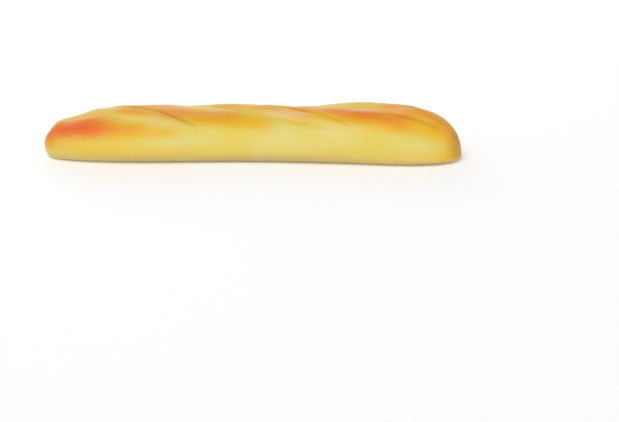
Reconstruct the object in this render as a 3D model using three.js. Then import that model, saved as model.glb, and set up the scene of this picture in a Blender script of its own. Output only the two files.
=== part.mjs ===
import * as THREE from 'three';

// An imitation baguette, moulded in one piece from soft foam: a blunt, slightly bent loaf with
// three slanting cuts over its top. Millimetres. X runs along the loaf from its left tip to its
// right one, +Y is its evenly rounded side, -Y its waisted side, and it lies flat on Z = 0.

// ---- Driving dimensions -----------------------------------------------------------------------

const LENGTH = 350;
const HALF = LENGTH / 2;

// The form at evenly spaced stations from the left tip to the right tip, joined smoothly.
const MIDLINE = [-5, -0.5, 2.2, -1, -9]; // where the middle of the loaf lies across Y
const HALF_WIDTH = [36.5, 36.5, 35, 36, 36];
const CROWN = [29.5, 36, 39.5, 38, 38.5, 38.5, 41, 43, 49]; // height of the top, before the tips close
const WIDEST = [10, 10, 10, 10, 3.5]; // height of the widest line

// The tips close over a length by a power curve: a power of 2 is an ellipse, more is blunter.
const PLAN_TIPS = { left: 120, leftPower: 2.8, right: 80, rightPower: 2.5 };
const CROWN_TIPS = { left: 64, leftPower: 2.4, right: 68, rightPower: 2.1 };
const BELLY_TIPS = { left: 12, leftPower: 2, right: 70, rightPower: 2 };
const RELIEF_TIPS = { left: 40, leftPower: 2, right: 30, rightPower: 2 };

// The section is a power curve too, and the flat base cuts its lower part off.
const TOP_POWER = 2.2;
const BELLY_POWER = 2.6;
const BASE_CUT = 3; // how far the round belly would reach below the base

// The cuts. The turn is the angle round the loaf in degrees: 0 at +Y, 90 on top, 180 at -Y.
const CUTS = [
  { middle: -106, turn: 103, reach: 68 },
  { middle: 8, turn: 93, reach: 80 },
  { middle: 104, turn: 84, reach: 62 },
];
const CUT_LEAN = THREE.MathUtils.degToRad(22.5); // slant of a cut away from X
const CUT_HALF_WIDTH = 10;
const CUT_TAPER = 0.6; // power by which a cut narrows to its ends
const GIRTH_RADIUS = 38; // radius on which distances round the loaf are measured
const SWELL = 2.2; // rise of the crumb inside a cut
const EAR_CREASE = { depth: 1.4, width: 3 }; // sharp crease where the crust lifts, on the +Y side
const SOFT_CREASE = { depth: 0.9, width: 3.6 }; // shallow crease on the -Y side
const EAR_LIP = { height: 0.8, width: 4, offset: 4.2 }; // raised crust beyond the sharp crease

// The knob at the left tip, and the dip that parts it from the first cut.
const BUMPS = [
  { middle: -165, turn: 90, alongWidth: 6.5, roundWidth: 30, rise: 5 },
  { middle: -144, turn: 82, alongWidth: 7, roundWidth: 14, rise: -1 },
];

// The mesh.
const RINGS = 102; // sections along the loaf
const RING_STEPS = 40; // faces round each section
const RING_CROWDING = 0.3; // how much closer the sections are in the middle than at the tips
const STEP_CROWDING = 0.35; // how much closer the faces are on the top than underneath

// ---- Curves ------------------------------------------------------------------------------------

// A smooth curve through values at evenly spaced stations, at the share t of the way along them.
function smooth(values, t) {
  const last = values.length - 1;
  const start = Math.min(Math.floor(t * last), last - 1);
  const u = t * last - start;
  const slope = (station) => {
    const before = Math.max(station - 1, 0);
    const after = Math.min(station + 1, last);
    return (values[after] - values[before]) / (after - before);
  };
  const blend = u * u * (3 - 2 * u);
  return values[start] * (1 - blend)
    + values[start + 1] * blend
    + slope(start) * u * (1 - u) ** 2
    - slope(start + 1) * u ** 2 * (1 - u);
}

// 1 along the loaf, falling to 0 at both tips.
function closing(x, tips) {
  const end = (distance, length, power) => {
    const open = 1 - THREE.MathUtils.clamp(distance / length, 0, 1);
    return (1 - open ** power) ** (1 / power);
  };
  return end(HALF + x, tips.left, tips.leftPower) * end(HALF - x, tips.right, tips.rightPower);
}

// A power of a sine or cosine that keeps its sign.
function signedPower(value, power) {
  return Math.sign(value) * Math.abs(value) ** power;
}

// A bell curve of height 1.
function bell(distance, width) {
  return Math.exp(-((distance / width) ** 2));
}

// Even steps from 0 to 1, moved closer together in the middle.
function crowd(t, crowding) {
  return t + (crowding * Math.sin(2 * Math.PI * t)) / (2 * Math.PI);
}

// Distance round the loaf from one turn to another.
function girth(turn, from) {
  return THREE.MathUtils.degToRad(turn - from) * GIRTH_RADIUS;
}

// ---- Surface -----------------------------------------------------------------------------------

// Height of one cut's relief over the smooth loaf: the swollen crumb, and a crease on each side.
function cutRelief(cut, x, turn) {
  const alongX = x - cut.middle;
  const round = girth(turn, cut.turn);
  const along = (alongX * Math.cos(CUT_LEAN) + round * Math.sin(CUT_LEAN)) / cut.reach;
  if (Math.abs(along) >= 1) {
    return 0;
  }
  const across = round * Math.cos(CUT_LEAN) - alongX * Math.sin(CUT_LEAN);
  const open = 1 - along ** 2;
  const halfWidth = CUT_HALF_WIDTH * open ** CUT_TAPER;
  const swell = SWELL * Math.max(1 - (across / halfWidth) ** 2, 0);
  const earCrease = EAR_CREASE.depth * bell(across + halfWidth, EAR_CREASE.width);
  const softCrease = SOFT_CREASE.depth * bell(across - halfWidth, SOFT_CREASE.width);
  const lip = EAR_LIP.height * bell(across + halfWidth + EAR_LIP.offset, EAR_LIP.width);
  return (swell - earCrease - softCrease + lip) * Math.sqrt(open);
}

function relief(x, turn) {
  let height = 0;
  for (const cut of CUTS) {
    height += cutRelief(cut, x, turn);
  }
  for (const bump of BUMPS) {
    const along = bell(x - bump.middle, bump.alongWidth);
    height += bump.rise * along * bell(girth(turn, bump.turn), bump.roundWidth);
  }
  return height * closing(x, RELIEF_TIPS);
}

// The point of the skin at x along the loaf, at a turn round it.
function skin(x, turn) {
  const t = (x + HALF) / LENGTH;
  const cos = Math.cos(THREE.MathUtils.degToRad(turn));
  const sin = Math.sin(THREE.MathUtils.degToRad(turn));
  const power = 2 / (sin > 0 ? TOP_POWER : BELLY_POWER);
  const widest = smooth(WIDEST, t);
  const above = (smooth(CROWN, t) - widest) * closing(x, CROWN_TIPS);
  const below = (widest + BASE_CUT) * closing(x, BELLY_TIPS);
  const height = relief(x, turn);
  const y = smooth(MIDLINE, t)
    + smooth(HALF_WIDTH, t) * closing(x, PLAN_TIPS) * signedPower(cos, power)
    + height * cos;
  const z = widest + (sin > 0 ? above : below) * signedPower(sin, power) + height * sin;
  return new THREE.Vector3(x, y, Math.max(z, 0));
}

// ---- The loaf ----------------------------------------------------------------------------------

// A sphere's grid gives the skin: its v runs from tip to tip, and its u round from under the base.
function loafGeometry() {
  const geometry = new THREE.SphereGeometry(1, RING_STEPS, RINGS);
  const { position, uv } = geometry.attributes;
  for (let i = 0; i < position.count; i += 1) {
    const x = -HALF * Math.cos(Math.PI * crowd(uv.getY(i), RING_CROWDING));
    const turn = 360 * crowd(uv.getX(i), STEP_CROWDING) - 90;
    position.setXYZ(i, ...skin(x, turn));
  }
  geometry.computeVertexNormals();
  return geometry;
}

// The origin is under the middle of the loaf's box.
function centreOverOrigin(geometry) {
  geometry.computeBoundingBox();
  const middle = geometry.boundingBox.getCenter(new THREE.Vector3());
  geometry.translate(-middle.x, -middle.y, -geometry.boundingBox.min.z);
  return geometry;
}

const paintedFoam = new THREE.MeshStandardMaterial({
  color: new THREE.Color().setStyle('#e8bd62'),
  roughness: 0.42,
  metalness: 0,
});

const loaf = new THREE.Mesh(centreOverOrigin(loafGeometry()), paintedFoam);
loaf.name = 'loaf';

const baguette = new THREE.Group();
baguette.add(loaf);

export default baguette;
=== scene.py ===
# %% [markdown]
# # A display baguette of painted foam
# Bakers' windows are often dressed with loaves that never go stale. They are cast in one piece from
# a soft foam, whose pale yellow skin is the colour of crumb, and then an airbrush lays orange and
# red-brown over it where an oven would brown a crust. This lesson builds one: first the view and the
# light, then the form, then the three cuts over its top, and last the paint.
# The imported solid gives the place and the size, so every piece is worked out from its box.

# %% Load the frame
import math

import bpy
import numpy as np
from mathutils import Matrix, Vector, noise


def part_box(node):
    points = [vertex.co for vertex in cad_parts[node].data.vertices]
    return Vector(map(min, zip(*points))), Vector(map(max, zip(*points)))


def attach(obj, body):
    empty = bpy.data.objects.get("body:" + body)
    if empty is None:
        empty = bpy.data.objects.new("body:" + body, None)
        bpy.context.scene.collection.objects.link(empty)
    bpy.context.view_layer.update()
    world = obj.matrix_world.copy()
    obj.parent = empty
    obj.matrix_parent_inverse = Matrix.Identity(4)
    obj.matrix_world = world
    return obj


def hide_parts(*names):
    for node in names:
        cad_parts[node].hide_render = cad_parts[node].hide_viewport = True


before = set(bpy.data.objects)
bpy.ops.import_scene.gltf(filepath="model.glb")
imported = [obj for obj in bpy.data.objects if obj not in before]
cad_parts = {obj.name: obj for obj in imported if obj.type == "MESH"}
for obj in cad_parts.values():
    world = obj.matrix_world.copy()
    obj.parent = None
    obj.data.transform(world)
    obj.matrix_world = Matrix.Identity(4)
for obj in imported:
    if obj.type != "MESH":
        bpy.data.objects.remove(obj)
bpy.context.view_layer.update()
solid_low, solid_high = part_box("loaf")

MM = 0.001
LENGTH = (solid_high.x - solid_low.x) / MM
HALF = LENGTH / 2
MIDDLE = (solid_low + solid_high) / 2
print(f"the solid loaf is {LENGTH:.1f} mm long and its middle is at {MIDDLE}")

# %% [markdown]
# ## The camera
# A long loaf looks stretched through a short lens, because the near end swells. Product pictures are
# taken from further off with a portrait lens, so this is an 85 mm one. How far off it stands follows
# from how much of the picture the loaf should fill. The loaf sits up and to the left in the picture:
# the camera turns a little away from it to do that, instead of shifting its lens, so that a view from
# any other side still frames the loaf.

# %% Place the camera
PICTURE_WIDTH = 619
PICTURE_HEIGHT = 422
LOAF_SPAN_PX = 415.0
LOAF_MIDDLE_PX = (253.9, 127.3)
LENS = 85.0
SENSOR = 36.0
AZIMUTH = math.radians(3.7)
ELEVATION = math.radians(16.0)

lens_px = LENS / SENSOR * PICTURE_WIDTH
distance = lens_px / LOAF_SPAN_PX * LENGTH * MM
backwards = Vector((
    math.sin(AZIMUTH) * math.cos(ELEVATION),
    -math.cos(AZIMUTH) * math.cos(ELEVATION),
    math.sin(ELEVATION),
))
rightwards = Vector((math.cos(AZIMUTH), math.sin(AZIMUTH), 0.0))
upwards = backwards.cross(rightwards)
px = LENGTH * MM / LOAF_SPAN_PX
aim = (
    MIDDLE
    + rightwards * (PICTURE_WIDTH / 2 - LOAF_MIDDLE_PX[0]) * px
    - upwards * (PICTURE_HEIGHT / 2 - LOAF_MIDDLE_PX[1]) * px
)

camera = bpy.data.objects.new("camera", bpy.data.cameras.new("camera"))
camera.data.lens = LENS
camera.data.sensor_width = SENSOR
camera.location = MIDDLE + backwards * distance
camera.rotation_euler = (aim - camera.location).to_track_quat("-Z", "Y").to_euler()
bpy.context.scene.collection.objects.link(camera)
bpy.context.scene.camera = camera
print(f"the camera stands {distance:.2f} m from the loaf")

# %% [markdown]
# ## The floor
# A white table that runs on to the horizon leaves nothing to look at but the loaf. Photographers
# light such a table until it is pure white, and its light comes back up under the subject. A plain
# white floor can't be lit that far without burning out the loaf, so this one glows a little by itself.
# It lies a hair below the loaf, because two faces in one plane would flicker through each other.

# %% Lay the floor
WHITE = (1.0, 1.0, 1.0, 1.0)
FLOOR_HALF = 8.0
FLOOR_DROP = 0.0002
TABLE_PAINT = (0.95, 0.95, 0.95, 1.0)
TABLE_ROUGHNESS = 0.7
TABLE_GLOW = 0.12

table_finish = bpy.data.materials.new("white table")
table_finish.use_nodes = True
table_shader = table_finish.node_tree.nodes["Principled BSDF"]
table_shader.inputs["Base Color"].default_value = TABLE_PAINT
table_shader.inputs["Roughness"].default_value = TABLE_ROUGHNESS
table_shader.inputs["Emission Color"].default_value = WHITE
table_shader.inputs["Emission Strength"].default_value = TABLE_GLOW

floor_mesh = bpy.data.meshes.new("floor")
corners = [
    (x * FLOOR_HALF, y * FLOOR_HALF, 0.0) for x, y in ((-1, -1), (1, -1), (1, 1), (-1, 1))
]
floor_mesh.from_pydata(corners, [], [(0, 1, 2, 3)])
floor_mesh.materials.append(table_finish)
floor = bpy.data.objects.new("floor", floor_mesh)
floor.location.z = -FLOOR_DROP
bpy.context.scene.collection.objects.link(floor)
print(f"the floor is {2 * FLOOR_HALF:.0f} m wide")

# %% [markdown]
# ## The lights
# Three point lamps would give the loaf hard spots of light, and foam shows its form best in soft
# light. Here a veiled sun, high and in front, draws the form, and two large lamps give the satin skin
# something to reflect. One of them stands low behind the loaf, so that its far side isn't dull.

# %% Hang the lights
def hang(name, kind, place, strength):
    """A light at a place, turned to the loaf's middle."""
    light = bpy.data.lights.new(name, kind)
    light.energy = strength
    stand = bpy.data.objects.new(name, light)
    stand.location = place
    stand.rotation_euler = (MIDDLE - stand.location).to_track_quat("-Z", "Y").to_euler()
    bpy.context.scene.collection.objects.link(stand)
    return light


def hang_panel(name, place, strength, width, height):
    """A rectangular lamp behind white cloth."""
    panel = hang(name, "AREA", place, strength)
    panel.shape = "RECTANGLE"
    panel.size = width
    panel.size_y = height
    return panel


veiled_sun = hang("veiled_sun", "SUN", place=(-0.3, -0.8, 1.4), strength=1.4)
veiled_sun.angle = math.radians(50)
back_lamp = hang_panel("back_lamp", (-0.35, 1.0, 0.4), strength=2.1, width=1.0, height=0.5)
front_lamp = hang_panel("front_lamp", (-0.2, -1.1, 0.25), strength=0.15, width=0.9, height=0.35)
print(f"lights: {veiled_sun.name}, {back_lamp.name}, {front_lamp.name}")

# %% [markdown]
# Most of the light comes from the sky, as in a light tent. It is white at the horizon and dimmer
# overhead, so the round top stays a little darker than the sides. A picture wrapped round the scene
# could do that too, but a sky that only depends on height needs three nodes: the direction of a ray,
# its height, and a map from that height to a strength.

# %% Raise the sky
SKY_LOW = 0.9
SKY_HIGH = 0.4
SKY_DIM_FROM = 0.8

sky = bpy.data.worlds.new("sky")
sky.use_nodes = True
sky_nodes = sky.node_tree.nodes
sky_links = sky.node_tree.links
direction = sky_nodes.new("ShaderNodeTexCoord")
parts = sky_nodes.new("ShaderNodeSeparateXYZ")
dimming = sky_nodes.new("ShaderNodeMapRange")
dimming.inputs["From Min"].default_value = 0.0
dimming.inputs["From Max"].default_value = SKY_DIM_FROM
dimming.inputs["To Min"].default_value = SKY_LOW
dimming.inputs["To Max"].default_value = SKY_HIGH
background = sky_nodes["Background"]
background.inputs["Color"].default_value = WHITE
sky_links.new(direction.outputs["Generated"], parts.inputs["Vector"])
sky_links.new(parts.outputs["Z"], dimming.inputs["Value"])
sky_links.new(dimming.outputs["Result"], background.inputs["Strength"])
bpy.context.scene.world = sky
bpy.context.scene.view_settings.view_transform = "Standard"
print(f"a sky of strength {SKY_LOW} low down and {SKY_HIGH} above")

# %% [markdown]
# ## The curves that the form is drawn with
# A mould like this is shaped by eye from a few measures. The same few measures give the form here:
# how high, how wide and how bent the loaf is at evenly spaced stations, joined by smooth curves, and
# how bluntly each tip closes. Sculpting by hand would also work, but a formula can be read, changed
# and sampled as finely as the picture needs.

# %% Curves
def smooth(values, t):
    """A smooth curve through values at evenly spaced stations, at the shares t of the way along."""
    values = np.asarray(values, float)
    slopes = np.gradient(values)
    last = len(values) - 1
    start = np.clip(np.floor(t * last).astype(int), 0, last - 1)
    u = t * last - start
    blend = u * u * (3 - 2 * u)
    return (
        values[start] * (1 - blend)
        + values[start + 1] * blend
        + slopes[start] * u * (1 - u) ** 2
        - slopes[start + 1] * u ** 2 * (1 - u)
    )


def closing(x, left, left_power, right, right_power):
    """1 along the loaf, falling to 0 at both tips: power 2 is an ellipse, more is blunter."""
    left_open = 1 - np.clip((HALF + x) / left, 0, 1)
    right_open = 1 - np.clip((HALF - x) / right, 0, 1)
    left_end = (1 - left_open ** left_power) ** (1 / left_power)
    return left_end * (1 - right_open ** right_power) ** (1 / right_power)


def bell(distance, width):
    return np.exp(-((distance / width) ** 2))


def step(low, high, value):
    """0 below low, 1 above high, and smooth between."""
    t = np.clip((value - low) / (high - low), 0, 1)
    return t * t * (3 - 2 * t)


def crowd(t, crowding):
    """Even steps from 0 to 1, moved closer together in the middle."""
    return t + crowding * np.sin(2 * np.pi * t) / (2 * np.pi)


print("a curve through 0, 1 and 0 is", smooth([0, 1, 0], np.array([0.25]))[0], "a quarter along")

# %% [markdown]
# ## The skin as a grid
# Any point of the loaf's skin has two addresses: x, how far along it lies, and its turn, the angle
# round the loaf, from the far side (0) over the top (90) to the near side (180). A grid in these two
# is a sphere's grid, stretched. A UV Sphere could be pulled to this shape by hand, but then neither
# the cuts nor the paint would know where they are. The grid is finest on top, where the cuts are.

# %% Lay out the grid
RINGS = 460
ROUND = 200
RING_CROWDING = 0.3
ROUND_CROWDING = 0.35
GIRTH_RADIUS = 38.0

ring_t = crowd(np.arange(1, RINGS) / RINGS, RING_CROWDING)
round_t = crowd(np.arange(ROUND) / ROUND, ROUND_CROWDING)
X, TURN = np.meshgrid(-HALF * np.cos(np.pi * ring_t), 360 * round_t - 90, indexing="ij")
print(f"the grid has {X.size} points")


def girth(turn):
    """Distance round the loaf in mm, from the middle of its top and towards the near side."""
    return np.radians(turn - 90) * GIRTH_RADIUS


# %% [markdown]
# ## The cuts
# Before a loaf is baked the baker slashes its top, and the crumb swells out through each slash. The
# mould has the same three marks: long and slanting, widest in their middle. On one side the crust
# lifts in a sharp edge, which bakers call the ear. On the other side the crumb runs out softly.
# A Boolean with a blade would leave an edge too hard for foam. Instead each cut gets its own pair of
# axes, along and across, turned by the slant. With those, every feature of a cut is one short formula.

# %% Cut axes
CUTS = [
    {"middle": -106.0, "turn": 103.0, "reach": 68.0},
    {"middle": 8.0, "turn": 93.0, "reach": 80.0},
    {"middle": 104.0, "turn": 84.0, "reach": 62.0},
]
CUT_LEAN = math.radians(22.5)
CUT_HALF_WIDTH = 10.0
CUT_TAPER = 0.6


def cut_axes(cut, x, turn):
    """How far along the cut (1 is its end), how far across it in mm, and its half width in mm."""
    dx = x - cut["middle"]
    dg = girth(turn) - girth(cut["turn"])
    along = (dx * math.cos(CUT_LEAN) + dg * math.sin(CUT_LEAN)) / cut["reach"]
    across = dg * math.cos(CUT_LEAN) - dx * math.sin(CUT_LEAN)
    half_width = CUT_HALF_WIDTH * np.clip(1 - along ** 2, 0, 1) ** CUT_TAPER
    return along, across, half_width


print(f"{len(CUTS)} cuts, {2 * CUT_HALF_WIDTH:.0f} mm wide, lean {math.degrees(CUT_LEAN):.1f} degrees")

# %% [markdown]
# Foam shrinks a little as it sets, so the swelling is low and rounded. The ear is a narrow crease
# with a raised lip behind it, and small folds lie behind the lip where the crust was torn. In Sculpt
# Mode the Crease brush would draw such a line. Here each one is a bell curve across the cut, so its
# depth and width can be set to a tenth of a millimetre, and all three cuts are alike.

# %% Relief of the cuts
SWELL = 2.2
EAR_CREASE = {"depth": 1.4, "width": 2.2}
SOFT_CREASE = {"depth": 0.9, "width": 3.6}
EAR_LIP = {"height": 0.9, "width": 3.0, "offset": 3.8}

# Waves behind the lip: how many radians a mm, and how far and how slowly they wander along the cut.
TORN = {"height": 0.22, "width": 4.0, "offset": 6.5, "pitch": 1.5, "wander": 2.2, "along": 9.0}
THINNEST = 0.01


def cut_relief(cut, x, turn):
    """Height of one cut's relief over the smooth loaf, in mm."""
    along, across, half_width = cut_axes(cut, x, turn)
    fade = np.sqrt(np.clip(1 - along ** 2, 0, 1))
    inside = np.clip(1 - (across / np.maximum(half_width, THINNEST)) ** 2, 0, 1)
    behind = -across - half_width
    crease = EAR_CREASE["depth"] * bell(behind, EAR_CREASE["width"]) * fade
    soft_crease = SOFT_CREASE["depth"] * bell(across - half_width, SOFT_CREASE["width"])
    lip = EAR_LIP["height"] * bell(behind - EAR_LIP["offset"], EAR_LIP["width"])
    wave = np.sin(behind * TORN["pitch"] + TORN["wander"] * np.sin(x / TORN["along"]))
    folds = TORN["height"] * wave * bell(behind - TORN["offset"], TORN["width"])
    return (SWELL * inside - crease - soft_crease + lip + folds) * fade


cuts_height = sum(cut_relief(cut, X, TURN) for cut in CUTS)
print(f"the cuts rise {cuts_height.max():.1f} mm and sink {-cuts_height.min():.1f} mm")

# %% [markdown]
# ## Knob, dip and torn folds
# The left tip has a knob of crust, parted from the first cut by a dip, and by the third cut the crust
# is torn in a few fine folds. The Inflate and Crease brushes would make them in a few strokes. Here
# the knob and the dip are round bells of so many mm, and each fold is a groove along a short line.
# The paint that pools in the folds then follows the same lines.

# %% Knob, dip and folds
KNOB = {"middle": -165.0, "turn": 90.0, "along": 6.5, "round": 30.0, "rise": 5.0}
DIP = {"middle": -144.0, "turn": 82.0, "along": 7.0, "round": 14.0, "rise": -1.0}

FOLDS = [
    {"from": (112, 107), "to": (129, 118), "width": 2.0},
    {"from": (126, 112), "to": (142, 120), "width": 1.6},
    {"from": (133, 120), "to": (152, 127), "width": 2.2},
]
FOLD_DEPTH = 0.28


def line_distance(line, x, turn):
    """Distance over the skin from the line between two places, in mm."""
    x0, g0 = line["from"][0], girth(line["from"][1])
    x1, g1 = line["to"][0], girth(line["to"][1])
    dx, dg = x1 - x0, g1 - g0
    t = np.clip(((x - x0) * dx + (girth(turn) - g0) * dg) / (dx ** 2 + dg ** 2), 0, 1)
    return np.hypot(x - x0 - t * dx, girth(turn) - g0 - t * dg)


print(f"a knob {KNOB['rise']:.0f} mm high, a dip and {len(FOLDS)} torn folds")

# %% [markdown]
# ## An uneven skin
# Nothing cast in a soft mould is quite even. The whole skin wavers by a few tenths of a millimetre,
# and only towards the flat base does that die out. A Displace modifier with a Clouds texture gives
# such a waver too. It is added to the formula instead, because the paint has to find the same
# surface. With it the relief is whole: all that stands on the smooth loaf or sinks into it.

# %% The whole relief
# The slow and the quick waver of the skin, in mm, and the turns between which it comes and goes.
WAVERS = [
    {"height": 0.5, "spacing": 24, "seed": 3.1},
    {"height": 0.25, "spacing": 9, "seed": 8.7},
]
WAVER_COMES = (-20, 30)
WAVER_GOES = (200, 150)
RELIEF_TIPS = {"left": 40, "left_power": 2, "right": 30, "right_power": 2}


def waver(x, turn, spacing, seed):
    """Smooth noise from -1 to 1 over the skin, its bumps about spacing mm apart."""
    across = girth(turn) / spacing
    points = np.stack([x / spacing, across, np.full(x.shape, seed)], axis=-1).reshape(-1, 3)
    return np.array([noise.noise(p) for p in points]).reshape(x.shape)


def relief(x, turn):
    """Height of everything that stands on or sinks into the smooth loaf, in mm."""
    height = sum(cut_relief(cut, x, turn) for cut in CUTS)
    for bump in (KNOB, DIP):
        round_distance = girth(turn) - girth(bump["turn"])
        spread = bell(x - bump["middle"], bump["along"]) * bell(round_distance, bump["round"])
        height = height + bump["rise"] * spread
    for fold in FOLDS:
        height = height - FOLD_DEPTH * bell(line_distance(fold, x, turn), fold["width"])
    upper = step(*WAVER_COMES, turn) * step(*WAVER_GOES, turn)
    wavers = sum(w["height"] * waver(x, turn, w["spacing"], w["seed"]) for w in WAVERS)
    return (height + upper * wavers) * closing(x, **RELIEF_TIPS)


print(f"the skin wavers by up to {sum(w['height'] for w in WAVERS):.2f} mm")

# %% [markdown]
# ## The form
# Every section is a power curve: fuller than an ellipse, like dough that has slumped. Above its
# widest line it arches up to the crown, and below it tucks in to the flat base the loaf lies on. The
# edge of the base is eased, because foam can't hold a sharp one. A stack of curves skinned into a
# surface would do as well, but each of them would have to be kept in step with its neighbours.

# %% The skin's points
# Each row is in mm, at evenly spaced stations from the left tip to the right one.
MIDLINE = [-5, -0.5, 2.2, -1, -9]
HALF_WIDTH = [36.5, 36.5, 35, 36, 36]
CROWN = [29.5, 36, 39.5, 38, 38.5, 38.5, 41, 43, 49]
WIDEST = [10, 10, 10, 10, 3.5]
PLAN_TIPS = {"left": 120, "left_power": 2.8, "right": 80, "right_power": 2.5}
CROWN_TIPS = {"left": 64, "left_power": 2.4, "right": 68, "right_power": 2.1}
BELLY_TIPS = {"left": 12, "left_power": 2, "right": 70, "right_power": 2}
TOP_POWER = 2.2
BELLY_POWER = 2.6
BASE_CUT = 3
BASE_EASE = 0.6


def signed_power(value, power):
    """A power of a sine or cosine that keeps its sign."""
    return np.sign(value) * np.abs(value) ** power


def skin(x, turn):
    """The points of the skin at x along the loaf, at a turn round it, in mm."""
    t = (x + HALF) / LENGTH
    cos = np.cos(np.radians(turn))
    sin = np.sin(np.radians(turn))
    power = np.where(sin > 0, 2 / TOP_POWER, 2 / BELLY_POWER)
    widest = smooth(WIDEST, t)
    above = (smooth(CROWN, t) - widest) * closing(x, **CROWN_TIPS)
    below = (widest + BASE_CUT) * closing(x, **BELLY_TIPS)
    height = relief(x, turn)
    y = smooth(MIDLINE, t) + height * cos
    y = y + smooth(HALF_WIDTH, t) * closing(x, **PLAN_TIPS) * signed_power(cos, power)
    z = widest + np.where(sin > 0, above, below) * signed_power(sin, power) + height * sin
    z = (z + np.sqrt(z ** 2 + BASE_EASE ** 2)) / 2
    return np.stack([x, y, z], axis=-1)


tips = skin(np.array([-HALF, HALF]), np.array([90.0, 90.0]))
form = skin(X, TURN)
points = np.concatenate([form.reshape(-1, 3), tips])
points[:, 2] -= points[:, 2].min()
points[:, 1] -= (points[:, 1].min() + points[:, 1].max()) / 2
print("the loaf is", np.round(points.max(axis=0) - points.min(axis=0), 1), "mm")

# %% [markdown]
# ## The mesh
# The grid's points become vertices, each square of the grid a face, and a fan of triangles closes
# each tip. A Grid primitive bent by a modifier would do it too. Writing the faces out keeps the
# order of the points, so the paint can be worked out on the same grid.

# %% Build the mesh
def ring_faces():
    """The squares between each ring of points and the next."""
    ring = np.arange(RINGS - 2)[:, None] * ROUND
    here = np.arange(ROUND)[None, :]
    after = (here + 1) % ROUND
    quads = np.stack([ring + here, ring + ROUND + here, ring + ROUND + after, ring + after], axis=-1)
    return quads.reshape(-1, 4).tolist()


def tip_faces():
    """The triangles from each tip to the ring beside it."""
    left, right = len(points) - 2, len(points) - 1
    last = (RINGS - 2) * ROUND
    faces = []
    for here in range(ROUND):
        after = (here + 1) % ROUND
        faces.append((left, here, after))
        faces.append((right, last + after, last + here))
    return faces


places = points * MM + np.array([MIDDLE.x, MIDDLE.y, solid_low.z])
loaf_mesh = bpy.data.meshes.new("loaf_skin")
loaf_mesh.from_pydata(places.tolist(), [], ring_faces() + tip_faces())
loaf_mesh.polygons.foreach_set("use_smooth", [True] * len(loaf_mesh.polygons))
loaf_mesh.update()
loaf = bpy.data.objects.new("loaf_skin", loaf_mesh)
bpy.context.scene.collection.objects.link(loaf)
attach(loaf, "root")
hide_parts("loaf")
print(f"the mesh has {len(loaf_mesh.polygons)} faces")
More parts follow.
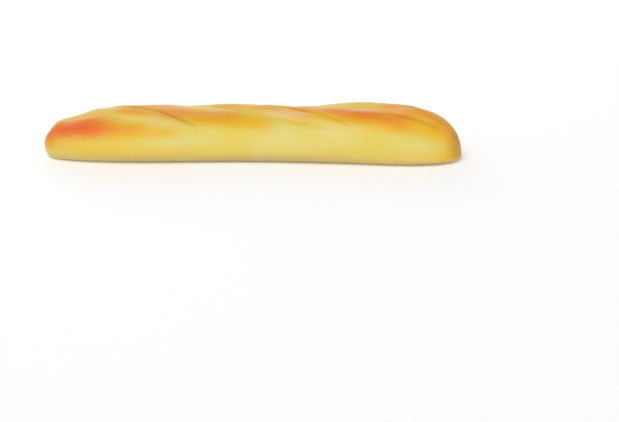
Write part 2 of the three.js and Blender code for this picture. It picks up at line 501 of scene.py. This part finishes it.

# %% [markdown]
# ## Where the paint lies
# The painter has an airbrush for each colour: gold, orange, red and brown, and a pale one for a
# painted sheen on high places. They follow the crust between the cuts and mostly keep off the crumb.
# An image of the paint would have to be unwrapped and drawn, and a stroke in Vertex Paint can't be
# repeated or corrected, so every pass is written down here as a line from one place on the skin to
# another, with a width in mm and the cover it gives in its middle. A place is its x in mm and its turn
# in degrees.

# %% The passes
PASSES = [
    # The near side, from the left tip to the right one.
    {"paint": "gold", "from": (-173, 143), "to": (-115, 144), "width": 5, "cover": 0.15},
    {"paint": "gold", "from": (-136, 140), "to": (-74, 149), "width": 7.5, "cover": 1.0},
    {"paint": "gold", "from": (-99, 145), "to": (-50, 152), "width": 5, "cover": 0.8},
    {"paint": "gold", "from": (-122, 101), "to": (-66, 115), "width": 6.5, "cover": 0.8},
    {"paint": "gold", "from": (-70, 113), "to": (26, 134), "width": 8.5, "cover": 0.95},
    {"paint": "gold", "from": (33, 104), "to": (93, 122), "width": 7, "cover": 0.7},
    {"paint": "gold", "from": (50, 112), "to": (171, 138), "width": 9.5, "cover": 0.95},
    {"paint": "gold", "from": (84, 131), "to": (140, 141), "width": 5, "cover": 0.5},
    {"paint": "gold", "from": (-172, 178), "to": (-28, 181), "width": 5.5, "cover": 0.3},
    {"paint": "gold", "from": (28, 183), "to": (172, 175), "width": 5.5, "cover": 0.3},
    {"paint": "orange", "from": (-167, 97), "to": (-144, 95), "width": 5, "cover": 0.45},
    {"paint": "orange", "from": (-166, 94), "to": (-100, 148), "width": 8.5, "cover": 0.75},
    {"paint": "orange", "from": (-162, 136), "to": (-78, 145), "width": 4.5, "cover": 0.55},
    {"paint": "orange", "from": (-116, 88), "to": (-56, 96), "width": 5, "cover": 0.4},
    {"paint": "orange", "from": (-119, 96), "to": (-50, 119), "width": 5.5, "cover": 0.8},
    {"paint": "orange", "from": (-91, 96), "to": (3, 115), "width": 9, "cover": 0.68},
    {"paint": "gold", "from": (-46, 70), "to": (12, 97), "width": 7, "cover": 0.4},
    {"paint": "orange", "from": (-40, 74), "to": (6, 95), "width": 6, "cover": 0.28},
    {"paint": "orange", "from": (-5, 90), "to": (87, 101), "width": 6, "cover": 0.75},
    {"paint": "orange", "from": (20, 120), "to": (64, 126), "width": 5, "cover": 0.2},
    {"paint": "orange", "from": (-8, 92), "to": (44, 103), "width": 4, "cover": 0.45},
    {"paint": "orange", "from": (46, 89), "to": (96, 97), "width": 6, "cover": 0.45},
    {"paint": "orange", "from": (70, 104), "to": (142, 132), "width": 9, "cover": 0.85},
    {"paint": "orange", "from": (95, 94), "to": (173, 118), "width": 7.5, "cover": 0.65},
    {"paint": "red", "from": (-173, 116), "to": (-115, 140), "width": 10, "cover": 0.85},
    {"paint": "red", "from": (-148, 138), "to": (-106, 146), "width": 4.5, "cover": 0.45},
    {"paint": "red", "from": (54, 98), "to": (120, 120), "width": 6.5, "cover": 0.42},
    # The tips.
    {"paint": "gold", "from": (-168, 113), "to": (-164, 199), "width": 5.5, "cover": 0.9},
    {"paint": "orange", "from": (-172, 93), "to": (-169, 159), "width": 7, "cover": 0.9},
    {"paint": "red", "from": (-172, 105), "to": (-160, 143), "width": 6, "cover": 0.5},
    {"paint": "gold", "from": (163, 91), "to": (168, 183), "width": 5.5, "cover": 0.5},
    # The brown on the right tip is partly painted shade, on the end that turns away from the light.
    {"paint": "brown", "from": (167, 62), "to": (172, 172), "width": 6, "cover": 0.4},
    # The far side, from the left tip to the right one.
    {"paint": "gold", "from": (-173, 41), "to": (-80, 59), "width": 11.5, "cover": 0.9},
    {"paint": "orange", "from": (-134, 39), "to": (-50, 102), "width": 11, "cover": 0.75},
    {"paint": "gold", "from": (-96, 32), "to": (2, 46), "width": 6.5, "cover": 0.6},
    {"paint": "gold", "from": (-30, 28), "to": (72, 66), "width": 11.5, "cover": 0.9},
    {"paint": "orange", "from": (-23, 26), "to": (59, 90), "width": 9.5, "cover": 0.75},
    {"paint": "red", "from": (-16, 27), "to": (34, 47), "width": 6.5, "cover": 0.45},
    {"paint": "gold", "from": (74, 28), "to": (173, 66), "width": 11.5, "cover": 0.9},
    {"paint": "orange", "from": (98, 24), "to": (172, 98), "width": 11.5, "cover": 0.75},
    {"paint": "gold", "from": (84, 72), "to": (140, 92), "width": 8, "cover": 0.6},
    {"paint": "orange", "from": (104, 74), "to": (160, 90), "width": 8, "cover": 0.5},
    {"paint": "red", "from": (108, 26), "to": (158, 52), "width": 6.5, "cover": 0.5},
    # Painted sheen: pale highlights painted on high places of the skin.
    {"paint": "painted_sheen", "from": (3, 101), "to": (53, 119), "width": 5, "cover": 0.3},
    {"paint": "painted_sheen", "from": (44, 137), "to": (80, 143), "width": 4.5, "cover": 0.22},
    {"paint": "painted_sheen", "from": (70, 96), "to": (119, 104), "width": 3.6, "cover": 0.68},
    {"paint": "painted_sheen", "from": (104, 105), "to": (142, 98), "width": 3.5, "cover": 0.3},
]
print(len(PASSES), "passes of the airbrush")

# %% [markdown]
# A pass is measured in space, from the line it follows over the skin, because paint falls in a round
# cone. Measured in turns it would shrink to a sliver on the tips, where the turns crowd together. Its
# edge is soft, and both its ends fade, because the trigger is pressed and let go on the move.

# %% One pass
PATH_POINTS = 8
FADE = 24.0
SPRAY_POWER = 2.4


def pass_cover(stroke, spread):
    """How much one pass covers at each point of the skin, with the pass widened by the spread."""
    path = skin(
        np.linspace(stroke["from"][0], stroke["to"][0], PATH_POINTS),
        np.linspace(stroke["from"][1], stroke["to"][1], PATH_POINTS),
    )
    nearest = np.full(X.shape, np.inf)
    travelled = np.zeros(X.shape)
    total = 0.0
    for start, end in zip(path[:-1], path[1:]):
        length = np.linalg.norm(end - start)
        t = np.clip((form - start) @ (end - start) / length ** 2, 0, 1)
        distance = np.linalg.norm(form - start - t[..., None] * (end - start), axis=-1)
        travelled = np.where(distance < nearest, total + t * length, travelled)
        nearest = np.minimum(nearest, distance)
        total += length
    fade = min(FADE, total / 2)
    ends = step(0, fade, travelled) * step(0, fade, total - travelled)
    width = stroke["width"] * spread
    return stroke["cover"] * ends * np.exp(-((nearest / width) ** SPRAY_POWER))


print(f"the first pass covers up to {pass_cover(PASSES[0], spread=1.0).max():.0%} of the foam")

# %% [markdown]
# Two passes of one colour add up as paint does: the second only covers what the first left bare. The
# painter works from light to dark, so a band of red has a wider band of orange under it, and orange
# has gold under it. Laying those undercoats by hand would double the list of passes. They are the
# same passes again instead, a little wider.

# %% Spray the crust
def coat(paint, spread=1.0):
    """How much of the foam the passes of one paint cover between them."""
    bare = np.ones(X.shape)
    for stroke in PASSES:
        if stroke["paint"] == paint:
            bare = bare * (1 - pass_cover(stroke, spread))
    return 1 - bare


def add(first, second):
    """Two coats of one paint, the second over the first."""
    return 1 - (1 - first) * (1 - second)


# An undercoat covers a little less than its pass, and is wider by a quarter.
UNDERCOAT = 0.8
UNDERCOAT_SPREAD = 1.25
red = coat("red")
orange = add(coat("orange"), UNDERCOAT * coat("red", UNDERCOAT_SPREAD))
gold = add(coat("gold"), UNDERCOAT * coat("orange", UNDERCOAT_SPREAD))
print(f"gold covers {gold.mean():.0%}, orange {orange.mean():.0%} and red {red.mean():.0%}")

# %% [markdown]
# ## What follows the form
# Some colours follow the form and not a pass. Inside a cut the crumb stays bare, except where the
# spray drifts over it. The torn edge of each ear and the folds are browner: a little paint pools
# there, and the rest of that brown is painted shade of the crease. Both tips are browned all over, as
# the ends of a real loaf are, and part of that brown, most on the right end, is painted shade where
# the ends turn away from the light. The lower part, which tucks in to the base, is painted duller and
# darker, as painted shade where it turns under. Each of these is a mask too: a number from 0 to 1 for
# every point of the grid. Weight Paint could mark them by hand, but worked out from the same axes and
# heights as the form they can't slip away from it.

# %% Crumb and ears
# For each cut: how bare its crumb is, how far along it the bare crumb runs, and how much
# brown lies along the torn edge of its ear, as pooled paint and painted shade of the crease.
CUT_PAINT = [
    {"bare": 0.8, "until": 0.95, "crease_paint_and_shade": 0.3},
    {"bare": 0.8, "until": 0.75, "crease_paint_and_shade": 0.12},
    {"bare": 0.5, "until": 0.3, "crease_paint_and_shade": 0.3},
]
BARE_FROM = (-1.0, -0.7)
BARE_FADE = 0.35

# Where the bare crumb comes in on each side, in mm outwards from the edge of the cut.
EAR_DRIFT = (1, -4)
SOFT_DRIFT = (3, -4)
TORN_EDGE = {"offset": 0.5, "width": 1.8}
TORN_ENDS = (1.0, 0.75)


def crumb_share(x, turn):
    """Near 1 on the bare crumb inside the cuts and 0 on the crust."""
    share = np.zeros(x.shape)
    for cut, paint in zip(CUTS, CUT_PAINT):
        along, across, half_width = cut_axes(cut, x, turn)
        ear_side = step(half_width + EAR_DRIFT[0], half_width + EAR_DRIFT[1], -across)
        soft_side = step(half_width + SOFT_DRIFT[0], half_width + SOFT_DRIFT[1], across)
        ends = step(*BARE_FROM, along) * step(paint["until"], paint["until"] - BARE_FADE, along)
        share = np.maximum(share, paint["bare"] * ear_side * soft_side * ends)
    return share


def ear_share(x, turn):
    """How brown the torn edge of each ear is, as pooled paint and painted shade, and 0 away from it.
    """
    share = np.zeros(x.shape)
    for cut, paint in zip(CUTS, CUT_PAINT):
        along, across, half_width = cut_axes(cut, x, turn)
        edge = bell(across + half_width + TORN_EDGE["offset"], TORN_EDGE["width"])
        share = np.maximum(share, paint["crease_paint_and_shade"] * edge * step(*TORN_ENDS, np.abs(along)))
    return share


crumb = crumb_share(X, TURN)
ears = ear_share(X, TURN)
print(f"{crumb.mean():.0%} of the skin is bare crumb, and {(ears > 0.05).mean():.0%} is torn edge")

# %% [markdown]
# The lower part starts a little above the widest line, which lies lower towards the right tip, so its
# mask is measured by height, against that line. Measured by the turn it would end in a sharp wedge at
# the tips. The oven's heat doesn't reach under a loaf, so no tip is browned there. The painted shade
# over the lower part is stronger in the middle of the loaf than at its ends.

# %% Tips and lower part
LOW_FROM = 2.5
LOW_FULL = {"share": 0.56, "drop": 1.3}
# Painted shade on the lower part: how strong it is at evenly spaced stations along the loaf.
BASE_SHADE = [0.55, 0.72, 0.75, 0.55, 0.5]
LEFT_TIP = {"ends": (-160, -172), "gold": 0.5, "orange": 0.3, "brown": 0.2}
RIGHT_TIP = {"ends": (152, 172), "gold": 0.6}
# The right cap's brown is partly painted shade, on the end that turns away from the light.
RIGHT_CAP = {"ends": (157, 177), "orange": 0.45, "brown": 0.45}
FOLD_BROWN = 0.2

along_loaf = (X + HALF) / LENGTH
widest = smooth(WIDEST, along_loaf)
low = step(widest + LOW_FROM, LOW_FULL["share"] * widest - LOW_FULL["drop"], form[..., 2])
left_tip = step(*LEFT_TIP["ends"], X) * (1 - low)
right_tip = step(*RIGHT_TIP["ends"], X) * (1 - low)
right_cap = step(*RIGHT_CAP["ends"], X) * (1 - low)
tip_gold = LEFT_TIP["gold"] * left_tip + RIGHT_TIP["gold"] * right_tip
tip_orange = LEFT_TIP["orange"] * left_tip + RIGHT_CAP["orange"] * right_cap
tip_brown = LEFT_TIP["brown"] * left_tip ** 2 + RIGHT_CAP["brown"] * right_cap
folded = sum(bell(line_distance(fold, X, TURN), fold["width"]) for fold in FOLDS)
# The brown in the ears and folds is pooled paint and painted shade of the creases.
crease_paint_and_shade = np.maximum(ears, FOLD_BROWN * np.clip(folded, 0, 1))
print(f"the lower part takes up {low.mean():.0%} of the skin")

# %% [markdown]
# ## The paint in the mesh
# The masks are stored in the mesh as named attributes, one number at each of its points. A shader
# reads them by name, and they stay with the mesh when it is copied or exported. A colour attribute
# would hold three masks under one name, which is harder to read.

# %% Store the paint in the mesh
masks = {
    "crumb": crumb,
    "gold": add(gold, tip_gold),
    "orange": add(orange, tip_orange),
    "red": red,
    # Brown: pooled paint and browned tips, with painted shade in the creases and on the right end.
    "brown": add(np.maximum(crease_paint_and_shade, tip_brown), coat("brown")),
    # A painted sheen: pale highlights on high places.
    "painted_sheen": coat("painted_sheen"),
    # Painted shade on the lower part.
    "base_shade": smooth(BASE_SHADE, along_loaf) * low,
}
for name, grid in masks.items():
    at_tips = [grid[0].mean(), grid[-1].mean()]
    values = np.concatenate([grid.reshape(-1), at_tips]).astype(np.float32)
    loaf_mesh.attributes.new(name, "FLOAT", "POINT").data.foreach_set("value", values)
    print(f"{name} covers up to {grid.max():.2f}, {grid.mean():.2f} on the mean")

# %% [markdown]
# ## The painted foam
# One shader makes the finish. It starts from the bare foam, which is a little greener here and paler
# there, and lays each colour over it by its own mask. The nodes for that could be drawn one by one in
# the Shader Editor. There are seven layers with the same few nodes each, so here small functions make
# the nodes, and one loop does what seven copies would.

# %% Helpers for nodes
foam = bpy.data.materials.new("painted_foam")
foam.use_nodes = True
nodes = foam.node_tree.nodes
links = foam.node_tree.links
shader = nodes["Principled BSDF"]
place = nodes.new("ShaderNodeTexCoord").outputs["Object"]


def number(operation, first, second, third=None):
    """A Math node on sockets or plain numbers."""
    node = nodes.new("ShaderNodeMath")
    node.operation = operation
    for socket, value in zip(node.inputs, (first, second, third)):
        if isinstance(value, bpy.types.NodeSocket):
            links.new(value, socket)
        elif value is not None:
            socket.default_value = value
    return node.outputs["Value"]


def clamped(operation, first, second, third=None):
    """The same, held between 0 and 1."""
    result = number(operation, first, second, third)
    result.node.use_clamp = True
    return result


def mix(share, under, over):
    """The colour over, laid on the colour under by its share."""
    node = nodes.new("ShaderNodeMix")
    node.data_type = "RGBA"
    for name, value in (("Factor_Float", share), ("A_Color", under), ("B_Color", over)):
        socket = next(s for s in node.inputs if s.identifier == name)
        if isinstance(value, bpy.types.NodeSocket):
            links.new(value, socket)
        else:
            socket.default_value = value
    return next(s for s in node.outputs if s.identifier == "Result_Color")


def attribute(name):
    """A mask stored in the mesh."""
    node = nodes.new("ShaderNodeAttribute")
    node.attribute_name = name
    return node.outputs["Fac"]


print(f"the finish has {len(nodes)} nodes before any paint is laid")

# %% [markdown]
# A maker knows a colour by three numbers from 0 to 255, as a colour picker on a screen gives them. A
# shader counts the light itself, from 0 to 1, and the number 128 is only about a fifth of the light
# of 255. The colour field in Blender turns one into the other, and code has to do it by itself.

# %% Colours
def srgb(red, green, blue):
    """A colour given as 0 to 255, as a shader wants it."""
    def linear(value):
        value = value / 255
        return value / 12.92 if value <= 0.04045 else ((value + 0.055) / 1.055) ** 2.4
    return (linear(red), linear(green), linear(blue), 1.0)


print(f"a middle grey of 128 is {srgb(128, 128, 128)[0]:.3f} to a shader")

# %% [markdown]
# A paint's edge is never even, so noise frays each mask, most where the coat is half thick. The noise
# is drawn out in streaks, because the brush travels along the loaf, and it has fine droplets in it.
# Bigger, softer noise places the greener and the paler patches of the bare foam.

# %% Noise
NOISE_ROUGHNESS = 0.55


def cloud(spacing, stretch, detail):
    """Noise from 0 to 1 with bumps about spacing mm apart, stretched along the loaf."""
    squeeze = nodes.new("ShaderNodeVectorMath")
    squeeze.operation = "MULTIPLY"
    squeeze.inputs[1].default_value = (1 / stretch, 1.0, 1.0)
    links.new(place, squeeze.inputs[0])
    node = nodes.new("ShaderNodeTexNoise")
    node.inputs["Scale"].default_value = 1 / (spacing * MM)
    node.inputs["Detail"].default_value = detail
    node.inputs["Roughness"].default_value = NOISE_ROUGHNESS
    links.new(squeeze.outputs["Vector"], node.inputs["Vector"])
    return node.outputs["Fac"]


DROPLETS = 0.5
PATCH_CONTRAST = 2.4
GREENER_SHIFT = -0.7
PALER_SHIFT = -1.05
streaks = cloud(spacing=9, stretch=4, detail=3)
droplets = cloud(spacing=1.6, stretch=1, detail=2)
fray = number("MULTIPLY_ADD", number("SUBTRACT", droplets, 0.5), DROPLETS, streaks)
slow_cloud = cloud(spacing=30, stretch=1.5, detail=2)
long_cloud = cloud(spacing=24, stretch=2, detail=1)
greener = clamped("MULTIPLY_ADD", slow_cloud, PATCH_CONTRAST, GREENER_SHIFT)
paler = clamped("MULTIPLY_ADD", long_cloud, PATCH_CONTRAST, PALER_SHIFT)
print(f"{len(nodes)} nodes so far")

# %% [markdown]
# The list below is in the order of laying. First comes the crumb in the cuts, which isn't paint but a
# duller yellow of the foam. Then come the paints as the painter used them, from light to dark, and
# last a painted sheen on high places and the painted shade of the lower part, which lie over
# everything. A Color Ramp could turn one mask into all these colours, but then they would follow each
# other in the same bands everywhere, while on the loaf each colour also has places of its own.

# %% Lay the paints
FOAM = (230, 199, 80)
GREENER_FOAM = (219, 208, 100)
PALER_FOAM = (228, 210, 130)
PAINTS = [
    ("crumb", (222, 192, 106)),
    ("gold", (233, 179, 20)),
    ("orange", (230, 141, 34)),
    ("red", (231, 96, 26)),
    # Brown is partly painted shade, in the creases and on the right end.
    ("brown", (166, 106, 38)),
    # A pale paint for painted highlights on high places.
    ("painted_sheen", (246, 200, 166)),
    # Painted shade for the lower part: a duller, darker yellow.
    ("base_shade", (204, 177, 116)),
]
FRAY = 0.5


def frayed(share):
    """The share, pushed up and down by noise where it is neither 0 nor 1."""
    thin = number("MULTIPLY", share, number("SUBTRACT", 1.0, share))
    push = number("MULTIPLY", number("SUBTRACT", fray, 0.5), 4 * FRAY)
    return clamped("MULTIPLY_ADD", thin, push, share)


colour = mix(greener, srgb(*FOAM), srgb(*GREENER_FOAM))
colour = mix(paler, colour, srgb(*PALER_FOAM))
for name, paint in PAINTS:
    colour = mix(frayed(attribute(name)), colour, srgb(*paint))
links.new(colour, shader.inputs["Base Color"])
print(len(PAINTS), "layers over the foam")

# %% [markdown]
# ## The skin up close
# Up close the skin isn't smooth. It has the faint orange peel of a rubber mould, and here and there
# a pore where a bubble of gas touched the mould. Both are too small to model, so they are a bump.
# Paint fills the skin and shines a little more than the bare foam.

# %% Peel and pores
PEEL_WAVES = 0.5
PEEL_GRAIN = 0.35
PORE_SPACING = 8
PORE_RADIUS = 0.55
PORE_DEPTH = 0.3
BUMP_STRENGTH = 0.9
BUMP_HEIGHT = 1.0


def pits(spacing, radius):
    """1 in small round pits, 0 between them."""
    cells = nodes.new("ShaderNodeTexVoronoi")
    cells.inputs["Scale"].default_value = 1 / (spacing * MM)
    links.new(place, cells.inputs["Vector"])
    edge = nodes.new("ShaderNodeMapRange")
    edge.interpolation_type = "SMOOTHSTEP"
    edge.inputs["From Min"].default_value = 0.0
    edge.inputs["From Max"].default_value = radius / spacing
    edge.inputs["To Min"].default_value = 1.0
    edge.inputs["To Max"].default_value = 0.0
    links.new(cells.outputs["Distance"], edge.inputs["Value"])
    return edge.outputs["Result"]


grain = number("MULTIPLY", cloud(spacing=1.1, stretch=1, detail=2), PEEL_GRAIN)
peel = number("MULTIPLY_ADD", cloud(spacing=5, stretch=2, detail=3), PEEL_WAVES, grain)
pores = pits(PORE_SPACING, PORE_RADIUS)
bump = nodes.new("ShaderNodeBump")
bump.inputs["Strength"].default_value = BUMP_STRENGTH
bump.inputs["Distance"].default_value = BUMP_HEIGHT * MM
links.new(number("MULTIPLY_ADD", pores, -PORE_DEPTH, peel), bump.inputs["Height"])
links.new(bump.outputs["Normal"], shader.inputs["Normal"])
print(f"pores about {PORE_SPACING} mm apart and {2 * PORE_RADIUS:.1f} mm wide")

# %% [markdown]
# Satin foam is neither matt nor glossy. A little roughness varies with the streaks and with the paint,
# and the rest of the gloss is the same all over, so it is set on the shader itself: a thin coat, and a
# trace of light that sinks in and comes out again nearby, which keeps the shadows warm.

# %% Gloss
FOAM_ROUGHNESS = 0.44
STREAK_ROUGHNESS = 0.12
PAINT_GLOSS = 0.06

foam_roughness = number("MULTIPLY_ADD", streaks, STREAK_ROUGHNESS, FOAM_ROUGHNESS)
roughness = number("MULTIPLY_ADD", attribute("orange"), -PAINT_GLOSS, foam_roughness)
links.new(roughness, shader.inputs["Roughness"])
shader.inputs["Specular IOR Level"].default_value = 0.3
shader.inputs["Coat Weight"].default_value = 0.04
shader.inputs["Coat Roughness"].default_value = 0.25
shader.inputs["Subsurface Weight"].default_value = 0.08
shader.inputs["Subsurface Radius"].default_value = (1.0, 0.7, 0.4)
shader.inputs["Subsurface Scale"].default_value = 4 * MM
loaf_mesh.materials.append(foam)
print(f"the finish has {len(nodes)} nodes")
